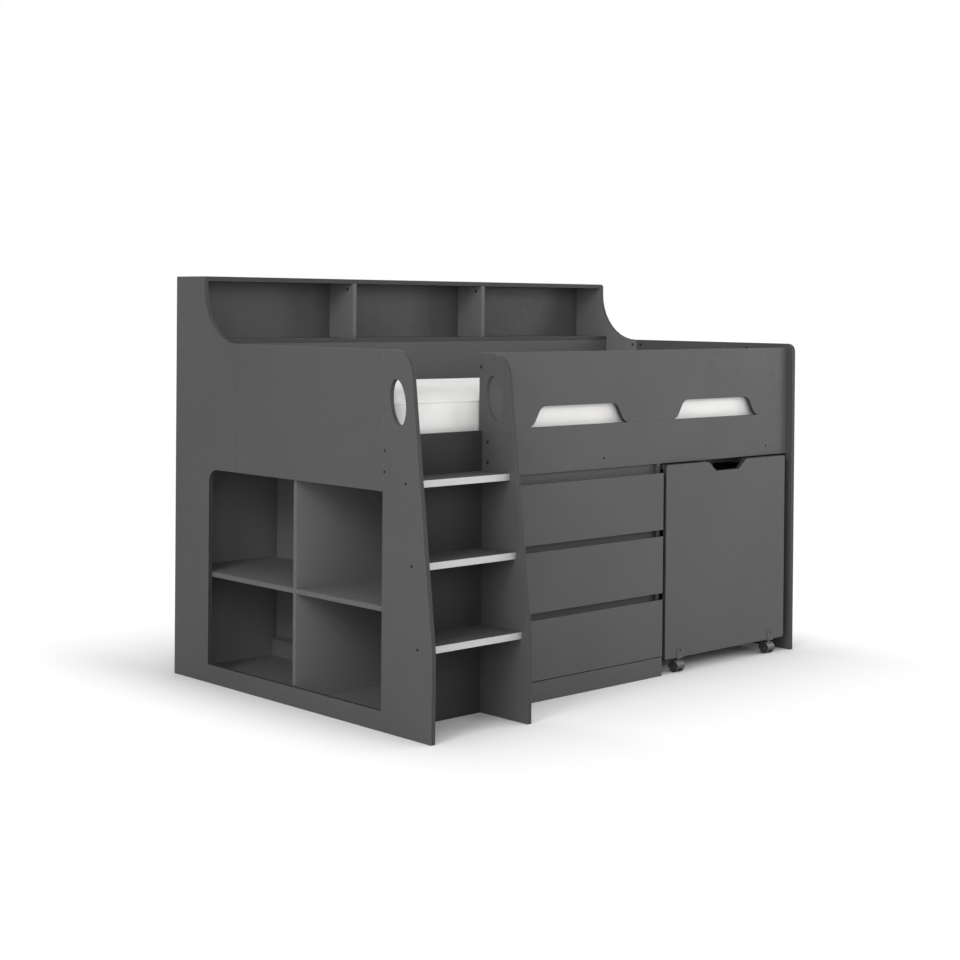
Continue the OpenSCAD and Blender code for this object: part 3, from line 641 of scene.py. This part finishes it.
def slat_tree(material):
    tree, given = new_tree("slats", {
        "Count": 15, "Pitch": 0.13, "Width": 0.068, "Long": 0.9, "Thick": 0.018, "Seed": 11})
    step = add(tree, "ShaderNodeCombineXYZ", {"X": given["Pitch"]})
    line = add(tree, "GeometryNodeMeshLine", {
        "Count": given["Count"], "Offset": step.outputs[0]})
    here = add(tree, "GeometryNodeInputPosition").outputs[0]
    origin = add(tree, "GeometryNodeSampleIndex", {
        "Geometry": given["Geometry"], "Value": here, "Index": 0}, data_type="FLOAT_VECTOR")
    spots = add(tree, "GeometryNodeSetPosition", {
        "Geometry": line.outputs[0], "Offset": origin.outputs[0]})
    size = add(tree, "ShaderNodeCombineXYZ", {
        "X": given["Width"], "Y": given["Long"], "Z": given["Thick"]})
    plank = add(tree, "GeometryNodeMeshCube", {
        "Size": size.outputs[0], "Vertices X": 2, "Vertices Y": 13, "Vertices Z": 2})
    put = add(tree, "GeometryNodeInstanceOnPoints", {
        "Points": spots.outputs[0], "Instance": plank.outputs["Mesh"]})
    chance = add(tree, "FunctionNodeRandomValue", {"Min": 0.0, "Max": 5.0, "Seed": given["Seed"]})
    toned = add(tree, "GeometryNodeStoreNamedAttribute", {
        "Geometry": put.outputs[0], "Name": "plank_tone", "Value": chance.outputs["Value"]},
        data_type="FLOAT", domain="INSTANCE")
    end_tree(tree, toned.outputs[0], material)
    return tree


slats = loose_parts("slats")
low, high = slats[0]
mesh = grow(slat_tree(pine_across), "slats_made", [(low + high) / 2], [(0, 0, 1)],
            Count=len(slats), Pitch=float(slats[1][0][0] - low[0]), Width=float(high[0] - low[0]),
            Long=float(high[1] - low[1]), Thick=float(high[2] - low[2]))
work = bmesh.new()
work.from_mesh(mesh)
round_edges(work, SLAT_ROUND)
work.to_mesh(mesh)
work.free()
piece = add_piece("slats_made", mesh, "root", pine_across, "pine", "slats")
piece.modifiers.new("flat faces", "WEIGHTED_NORMAL").keep_sharp = False
print(len(slats), "slats")

# %% [markdown]
# Each castor has a moulded hood over two small wheels. The hood is the CAD solid with rounded
# edges. A wheel is turned on a lathe: a profile from the hub to a tread with round shoulders
# and a groove, swept once round the axle.

# %% Castors
def lathe(rings, centre, turns=48):
    """A closed solid of revolution round X. Each ring is (place along X, radius)."""
    work = bmesh.new()
    loops = []
    for along, radius in rings:
        loops.append([work.verts.new(centre + Vector((
            along, radius * math.cos(math.tau * k / turns), radius * math.sin(math.tau * k / turns)
        ))) for k in range(turns)])
    for first, second in zip(loops, loops[1:]):
        for k in range(turns):
            following = (k + 1) % turns
            work.faces.new((first[k], first[following], second[following], second[k]))
    for loop in (loops[0], loops[-1]):
        work.faces.new(loop)
    bmesh.ops.recalc_face_normals(work, faces=work.faces)
    return end_mesh(work, "turned")


# Shares of a wheel's half width and radius, from its inner side over the tread to the hub cap.
WHEEL_PROFILE = ((-1, 0.55), (-1, 0.93), (-0.94, 0.965), (-0.8, 0.99), (-0.6, 1), (-0.12, 1),
                 (-0.06, 0.985), (0.06, 0.985), (0.12, 1), (0.6, 1), (0.8, 0.99), (0.94, 0.965),
                 (1, 0.93), (1, 0.80), (0.72, 0.76), (0.72, 0.34), (0.95, 0.30), (0.95, 0.10))
HALF_GAP = 6.5 * MM
AXLE = 2.4 * MM


def wheel_rings(middle, radius, width):
    out = 1 if middle > 0 else -1
    return [(middle + out * along * width / 2, share * radius) for along, share in WHEEL_PROFILE]


for number in range(1, 5):
    edged(f"castor_hood_{number}", hood_plastic, "castor_plastic", 0.7 * MM, 3)
    node = f"castor_wheels_{number}"
    low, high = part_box(node)
    centre, radius = (low + high) / 2, (high.z - low.z) / 2
    outer = (high.x - low.x) / 2
    made = bmesh.new()
    for side in (-1, 1):
        middle = side * (outer + HALF_GAP) / 2
        made.from_mesh(lathe(wheel_rings(middle, radius, outer - HALF_GAP), centre))
    made.from_mesh(lathe([(-outer + MM, AXLE), (outer - MM, AXLE)], centre, 20))
    mesh = end_mesh(made, node + "_turned")
    add_piece(node + "_turned", mesh, f"wheels_{number}", wheel_rubber, "castor_tread", node)
print("4 castors with", len(mesh.polygons), "faces a pair of wheels")

# %% [markdown]
# A small screw holds each castor plate to its panel. They are the same tree as the frame's
# screws, with smaller numbers, and they move with the desk.

# %% Screws in the castor plates
HEAD_PROUD = 1.2 * MM
UNDER_TOP = 8 * MM
places, facings = [], []
for low, high in loose_parts("castor_brackets"):
    front = (low[1] + high[1]) / 2 < 0
    places.append(((low[0] + high[0]) / 2, low[1] - HEAD_PROUD if front else high[1] + HEAD_PROUD,
                   high[2] - UNDER_TOP))
    facings.append((0, 1 if front else -1, 0))
mesh = grow(screws, "castor_plate_screws", places, facings, Head=3.6 * MM, Thick=1.6 * MM,
            Socket=1.5 * MM, Shank=1.6 * MM, Length=12 * MM)
add_piece("castor_plate_screws", mesh, "desk", plated_steel, "bracket_steel")
print(len(places), "plate screws")

# %% [markdown]
# The mattress is foam in a knitted cover. A plain block would look hard, so the CAD solid is
# copied, remeshed into even squares and inflated a little as cloth under pressure. The tape
# seams along its upper and lower edge are pinned, because tape doesn't stretch, and so is the
# side that lies on the slats. How far a point may move is capped.

# %% Remesh the mattress
VOXEL = 12 * MM
low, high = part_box("mattress")
middle, half = (low + high) / 2, (high - low) / 2
UPPER_TAPE = low.z + 127 * MM
LOWER_TAPE = low.z + 21 * MM


def even_copy(node, voxel):
    piece = new_object("mattress_even", end_mesh(merged_copy(node), "mattress_even"))
    remesh = piece.modifiers.new("even squares", "REMESH")
    remesh.mode = "VOXEL"
    remesh.voxel_size = voxel
    graph = bpy.context.evaluated_depsgraph_get()
    even = bpy.data.meshes.new_from_object(piece.evaluated_get(graph))
    bpy.data.objects.remove(piece)
    return even


even = even_copy("mattress", VOXEL)
rest = np.array([v.co for v in even.vertices])
print(len(rest), "points on the mattress")

# %% [markdown]
# The cloth modifier is stepped frame by frame, and the last frame's points are read. A point
# that moved farther than the cap is drawn back along its way.

# %% Inflate it as cloth
CAP = 7 * MM
UNDERSIDE = 6 * MM
TAPE_BAND = 8 * MM
SIDE_SHARE = 0.985
PRESSURE = 4.0
FRAMES = 20


def inflate(mesh, held, pressure, frames):
    piece = new_object("mattress_cloth", mesh)
    group = piece.vertex_groups.new(name="held")
    group.add([int(i) for i in held], 1.0, "REPLACE")
    cloth = piece.modifiers.new("cloth", "CLOTH")
    cloth.settings.quality = 4
    cloth.settings.mass = 0.3
    cloth.settings.tension_stiffness = cloth.settings.compression_stiffness = 25
    cloth.settings.bending_stiffness = 4
    cloth.settings.use_pressure = True
    cloth.settings.uniform_pressure_force = pressure
    cloth.settings.vertex_group_mass = "held"
    cloth.settings.effector_weights.gravity = 0
    cloth.collision_settings.use_collision = False
    cloth.point_cache.frame_end = frames
    scene = bpy.context.scene
    for number in range(1, frames + 1):
        scene.frame_set(number)
    graph = bpy.context.evaluated_depsgraph_get()
    swollen = piece.evaluated_get(graph).to_mesh()
    moved = np.array([v.co for v in swollen.vertices])
    scene.frame_set(1)
    bpy.data.objects.remove(piece)
    return moved


side = np.maximum(np.abs(rest[:, 0] - middle.x) / half.x, np.abs(rest[:, 1] - middle.y) / half.y)
from_tape = np.minimum(abs(rest[:, 2] - UPPER_TAPE), abs(rest[:, 2] - LOWER_TAPE))
on_slats = rest[:, 2] < low.z + UNDERSIDE
held = np.flatnonzero(on_slats | ((from_tape < TAPE_BAND) & (side > SIDE_SHARE)))
moved = inflate(even, held, PRESSURE, FRAMES)
step = moved - rest
length = np.linalg.norm(step, axis=1)
step *= np.minimum(1, CAP / np.maximum(length, 1e-9))[:, None]
print("cloth moved up to", round(float(length.max()) * 1000, 1), "mm, kept to", CAP * 1000)

# %% [markdown]
# A mattress that has been made up and lain on is never perfectly even, so slow, shallow waves
# of about a millimetre are added to the top. They fade out at the upper tape. Then one level of
# subdivision makes the cloth smooth.

# %% Finish the mattress
WAVE = 0.9 * MM
FADE_IN = 20 * MM
HIGHEST = high.z + 6 * MM
shape = rest + step
wave = (np.sin(shape[:, 0] * 9.1 + 1.3 * np.sin(shape[:, 1] * 7.0))
        * np.sin(shape[:, 1] * 11.3 + 0.7 * np.sin(shape[:, 0] * 5.0)))
top = np.clip((rest[:, 2] - UPPER_TAPE) / FADE_IN, 0, 1)
shape[:, 2] += WAVE * wave * top
shape[:, 2] = np.clip(shape[:, 2], low.z, HIGHEST)
even.vertices.foreach_set("co", shape.astype(np.float32).ravel())
even.update()
for polygon in even.polygons:
    polygon.use_smooth = True
mattress = add_piece("mattress_padded", even, "root", cover, "mattress_cover", "mattress")
smooth = mattress.modifiers.new("smooth cloth", "SUBSURF")
smooth.levels = smooth.render_levels = 1
print("mattress from", [round(float(v), 3) for v in shape.min(0)],
      "to", [round(float(v), 3) for v in shape.max(0)])

# %% [markdown]
# A tape covers the seam between the border and the panels of the cover. It runs right round,
# and it is laid on the swollen cloth by asking for the nearest point of the surface. The tape
# is a small closed tube.

# %% Tape seams
surface = BVHTree.FromPolygons([tuple(v) for v in shape],
                               [tuple(p.vertices) for p in even.polygons])
CORNER = 60 * MM
ARC_STEPS = 8
TAPE = 1.4 * MM
CLEAR = 4 * MM
SUNK = 0.4 * MM


def round_rectangle(height, grow_by, spacing=10 * MM):
    """Points right round the mattress at one height, a little outside it."""
    a, b, r = half.x + grow_by, half.y + grow_by, CORNER
    points = []
    for quarter, (cx, cy) in enumerate(((a - r, b - r), (r - a, b - r), (r - a, r - b),
                                        (a - r, r - b))):
        for k in range(ARC_STEPS + 1):
            angle = math.radians(90 * quarter + 90 * k / ARC_STEPS)
            points.append((cx + r * math.cos(angle), cy + r * math.sin(angle)))
    dense = []
    for (x0, y0), (x1, y1) in zip(points, points[1:] + points[:1]):
        parts = max(1, round(math.hypot(x1 - x0, y1 - y0) / spacing))
        dense.extend((x0 + (x1 - x0) * k / parts, y0 + (y1 - y0) * k / parts)
                     for k in range(parts))
    return [Vector((middle.x + x, middle.y + y, height)) for x, y in dense]


def on_cloth(points, lift):
    """The nearest points on the swollen cloth, lifted off it sideways."""
    laid = []
    for point in points:
        spot, normal, _, _ = surface.find_nearest(point)
        flat = Vector((normal.x, normal.y, 0)).normalized()
        laid.append(Vector((spot.x, spot.y, point.z)) + flat * lift)
    return laid


def tube(name, path, radius, sides=8):
    """A closed tube along a closed level path."""
    work = bmesh.new()
    up = Vector((0, 0, 1))
    angles = [math.tau * j / sides for j in range(sides)]
    loops = []
    for k, point in enumerate(path):
        along = (path[(k + 1) % len(path)] - path[k - 1]).normalized()
        out = along.cross(up).normalized()
        loops.append([work.verts.new(point + radius * (math.cos(a) * out + math.sin(a) * up))
                      for a in angles])
    for k, loop in enumerate(loops):
        following = loops[(k + 1) % len(loops)]
        for j in range(sides):
            work.faces.new((loop[j], following[j], following[(j + 1) % sides],
                            loop[(j + 1) % sides]))
    bmesh.ops.recalc_face_normals(work, faces=work.faces)
    return end_mesh(work, name)


tapes = {}
for name, height in (("upper", UPPER_TAPE), ("lower", LOWER_TAPE)):
    tapes[name] = on_cloth(round_rectangle(height, CLEAR), -SUNK)
    mesh = tube(f"mattress_tape_{name}", tapes[name], TAPE)
    add_piece(f"mattress_tape_{name}", mesh, "root", tape, "mattress_cover")
print("tape round the mattress:", len(tapes["upper"]), "points")

# %% [markdown]
# One row of stitches runs beside each tape, on the side of the border. A stitch is a short
# thread that lies along the tape.

# %% Stitches
BESIDE = 3.0 * MM
THREAD_LIFT = 0.35 * MM


def stitch_tree(material):
    tree, given = new_tree("tape_stitches", {"Long": 3.0 * MM, "Thick": 0.3 * MM})
    thread = add(tree, "GeometryNodeMeshCylinder", {
        "Vertices": 6, "Radius": given["Thick"], "Depth": given["Long"]})
    put_on_points(tree, given["Geometry"], thread.outputs["Mesh"], along_facing(tree), material)
    return tree


places, facings = [], []
for path, beside in ((tapes["upper"], -BESIDE), (tapes["lower"], BESIDE)):
    line = on_cloth([p + Vector((0, 0, beside)) for p in path], THREAD_LIFT)
    for k, point in enumerate(line):
        places.append(point)
        facings.append((line[(k + 1) % len(line)] - line[k - 1]).normalized())
mesh = grow(stitch_tree(tape), "mattress_stitches", places, facings)
add_piece("mattress_stitches", mesh, "root", tape, "mattress_cover")
print(len(places), "stitches")

# %% [markdown]
# The floor and the backdrop are white in the photograph, and the bed throws a soft shadow that
# is deep only under it. Under the bed the floor is a plain pale surface lit like the bed; with
# the distance from the bed's outline the camera sees more and more plain white instead, so that
# the floor meets the white background without a line.

# %% What the camera sees, and how far a place is from the bed
SIDEWAYS = 2.4


def is_seen(tree):
    path = add(tree, "ShaderNodeLightPath").outputs
    first = add(tree, "ShaderNodeMath", {
        0: path["Is Camera Ray"], 1: path["Is Glossy Ray"]}, operation="ADD", use_clamp=True)
    return add(tree, "ShaderNodeMath", {
        0: first.outputs[0], 1: path["Is Transmission Ray"]}, operation="ADD",
        use_clamp=True).outputs[0]


def away_from(tree, coords, low, high):
    """Distance on the floor from a rectangle, 0 inside it, counted longer to the sides."""
    def vector_node(operation, first, second=(0, 0, 0)):
        return add(tree, "ShaderNodeVectorMath", {0: first, 1: second}, operation=operation)
    middle = [(a + b) / 2 for a, b in zip(low, high)]
    half = [(b - a) / 2 for a, b in zip(low, high)]
    placed = vector_node("SUBTRACT", coords, (*middle, 0)).outputs[0]
    across = vector_node("ABSOLUTE", placed).outputs[0]
    beyond = vector_node("SUBTRACT", across, (*half, 0)).outputs[0]
    outside = vector_node("MAXIMUM", beyond).outputs[0]
    wider = vector_node("MULTIPLY", outside, (SIDEWAYS, 1, 1)).outputs[0]
    return vector_node("LENGTH", wider).outputs["Value"]


print("to the sides a distance counts", SIDEWAYS, "times")

# %% [markdown]
# The share of plain white grows along a curve with five points, given as distance and share.
# The floor knows the bed's outline as two rectangles: the body and the ladder in front of it.

# %% Floor
FLOOR_TONE = (0.93, 0.93, 0.93, 1)
FLOOR_GLOW = 1.05
REACH = 60
FADE = ((0.0, 0.0), (0.1, 0.14), (0.3, 0.38), (0.6, 0.7), (1.0, 1.0))


def pale_floor(plan):
    material, tree, shader = start_material(
        "pale_floor", Roughness=0.9, Specular_IOR_Level=0.1)
    shader.inputs["Base Color"].default_value = FLOOR_TONE
    glow = add(tree, "ShaderNodeEmission", {"Color": (1, 1, 1, 1), "Strength": FLOOR_GLOW})
    coords = add(tree, "ShaderNodeTexCoord").outputs["Object"]
    first, second = (away_from(tree, coords, *corners) for corners in plan)
    away = add(tree, "ShaderNodeMath", {0: first, 1: second}, operation="MINIMUM").outputs[0]
    ramp = add(tree, "ShaderNodeFloatCurve", {"Factor": 1.0, "Value": away})
    points = ramp.mapping.curves[0].points
    for place, height in FADE[1:-1]:
        points.new(place, height)
    points[0].location = FADE[0]
    points[-1].location = FADE[-1]
    ramp.mapping.update()
    share = add(tree, "ShaderNodeMath", {0: is_seen(tree), 1: ramp.outputs[0]},
                operation="MULTIPLY")
    mixed = add(tree, "ShaderNodeMixShader", {
        0: share.outputs[0], 1: shader.outputs[0], 2: glow.outputs[0]})
    tree.links.new(mixed.outputs[0], tree.nodes["Material Output"].inputs["Surface"])
    return material


mesh = bpy.data.meshes.new("floor")
mesh.from_pydata([(-REACH, -REACH, 0), (REACH, -REACH, 0), (REACH, REACH, 0), (-REACH, REACH, 0)],
                 [], [(0, 1, 2, 3)])
floor = new_object("floor", mesh)
low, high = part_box("left_end_panel")
back, front, left = high[1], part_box("unit_plinth")[0][1], low[0]
plan = [((left, front), (cad_box[1][0], back)),
        ((left, low[1]), (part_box("ladder_right_panel")[1][0], front))]
mesh.materials.append(pale_floor(plan))
print("floor fades over", FADE[-1][0], "m")

# %% [markdown]
# The world is white where the camera looks at it, and a softer, slightly cool white in how it
# lights the bed.

# %% World
AMBIENT = 0.42
world = bpy.data.worlds.new("studio")
world.use_nodes = True
bpy.context.scene.world = world
sky = world.node_tree
ambient = sky.nodes["Background"]
ambient.inputs["Color"].default_value = (0.99, 0.995, 1, 1)
ambient.inputs["Strength"].default_value = AMBIENT
white = add(sky, "ShaderNodeBackground", {"Color": (1, 1, 1, 1), "Strength": 1.0})
chosen = add(sky, "ShaderNodeMixShader", {
    0: is_seen(sky), 1: ambient.outputs[0], 2: white.outputs[0]})
sky.links.new(chosen.outputs[0], sky.nodes["World Output"].inputs["Surface"])
print("even light", AMBIENT)

# %% [markdown]
# Part of the light comes evenly from all round. The key softbox, high on the left, reaches
# into the bookcase and the rear shelf. Two lower ones, at the left and beside the camera, even
# out the ladder end, and two more, in front and low on the right, light the drawers, the desk
# and the guard boards. One straight above gives the mattress its light top. Each line below
# gives a softbox its place, the point that it looks at, its width and height, and its watts.

# %% Lights
def softbox(name, place, aim, size, watts):
    lamp = bpy.data.lights.new(name, "AREA")
    lamp.shape = "RECTANGLE"
    lamp.size, lamp.size_y = size
    lamp.energy = watts
    light = new_object(name, lamp)
    light.location = place
    light.rotation_euler = (Vector(aim) - Vector(place)).to_track_quat("-Z", "Y").to_euler()


softbox("key_softbox", (-5.0, -1.8, 3.2), (-0.6, 0.2, 0.7), (1.6, 1.6), 88)
softbox("front_softbox", (1.6, -5.2, 2.4), (0.2, 0, 0.6), (2.6, 2.2), 56)
softbox("right_softbox", (4.6, -2.8, 1.7), (0.5, -0.2, 0.6), (1.8, 1.8), 86)
softbox("left_softbox", (-4.9, -2.3, 1.5), (-1, 0.1, 0.6), (2.4, 1.8), 30)
softbox("camera_softbox", (-3.6, -4.4, 2.6), (-0.6, 0, 0.5), (3.0, 2.4), 66)
softbox("high_softbox", (0.2, 0.2, 4.6), (0, 0.1, 0), (3.2, 2.6), 38)
bpy.context.scene.view_settings.view_transform = "Standard"
